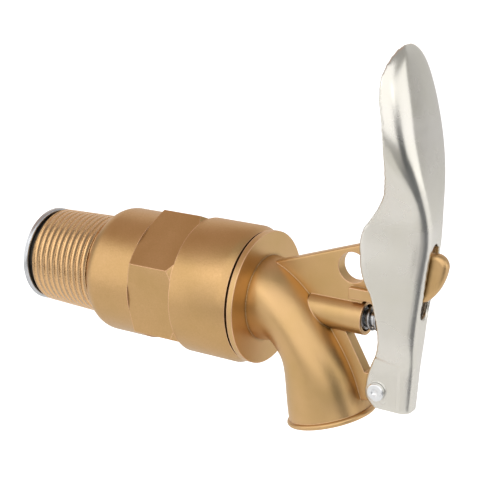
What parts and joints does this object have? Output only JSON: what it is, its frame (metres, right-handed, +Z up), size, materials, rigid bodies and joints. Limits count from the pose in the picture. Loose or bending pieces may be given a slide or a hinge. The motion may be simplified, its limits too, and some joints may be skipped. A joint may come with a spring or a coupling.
{
  "type": "drum tap",
  "caption": "Self-closing drum tap with a threaded inlet, spanner flats, a turning down-curved spout, a locking fin and a spring-returned push lever.",
  "frame": {"origin": "on the inlet thread's axis, where its full turns start at the free end", "axes": "+X along the body's axis, out of the drum towards the lever; +Z up, the way the lever stands; +Y completes the right-handed set"},
  "size_m": [0.1164, 0.0346, 0.0943],
  "materials": {
    "cast_brass": "satin, fine grained cast and bronze painted",
    "spout_brass": "satin, smoother than the body",
    "turned_brass": "turned bright",
    "plated_steel": "bright zinc plated pressing",
    "rivet_aluminium": "bright, lightly hammered",
    "tinned_steel": "dull bright",
    "steel_mesh": "dull",
    "spring_steel": "plain drawn wire",
    "stem_steel": "turned",
    "black_rubber": "matt"
  },
  "bodies": {
    "inlet": {"inlet_body": "cast_brass", "arrester_cup": "tinned_steel", "arrester_spacer": "turned_brass", "arrester_front_screen": "steel_mesh", "arrester_rear_screen": "steel_mesh", "swivel_snap_ring": "spring_steel", "swivel_washer": "black_rubber"},
    "spout": {"spout_casting": "spout_brass", "swivel_o_ring": "black_rubber", "stem_o_ring": "black_rubber", "gland_washer": "turned_brass", "return_spring": "spring_steel"},
    "stem": {"stem": "stem_steel", "seal_washer": "stem_steel", "valve_seal": "black_rubber", "valve_cup": "turned_brass", "lock_nut": "turned_brass", "spring_cap": "stem_steel", "stem_clip": "spring_steel"},
    "lever": {"lever": "plated_steel", "pivot_rivet": "rivet_aluminium"}
  },
  "joints": [
    {"name": "spout_swivel", "type": "hinge", "parent": "inlet", "child": "spout", "pos_m": [0, 0, 0], "axis": [1, 0, 0], "continuous": true},
    {"name": "lever_pivot", "type": "hinge", "parent": "spout", "child": "lever", "pos_m": [0.098, 0, -0.0166], "axis": [0, -1, 0], "range_deg": [0, 10.3], "stiffness_Nm_per_rad": 0.38, "springref_deg": -28.65},
    {"name": "stem_slide", "type": "slide", "parent": "spout", "child": "stem", "axis": [-1, 0, 0], "range_m": [0, 0.003], "deforming": ["return_spring"]}
  ],
  "couplings": [
    {"joint": "stem_slide", "follows": "lever_pivot", "m_per_rad": 0.0166}
  ]
}
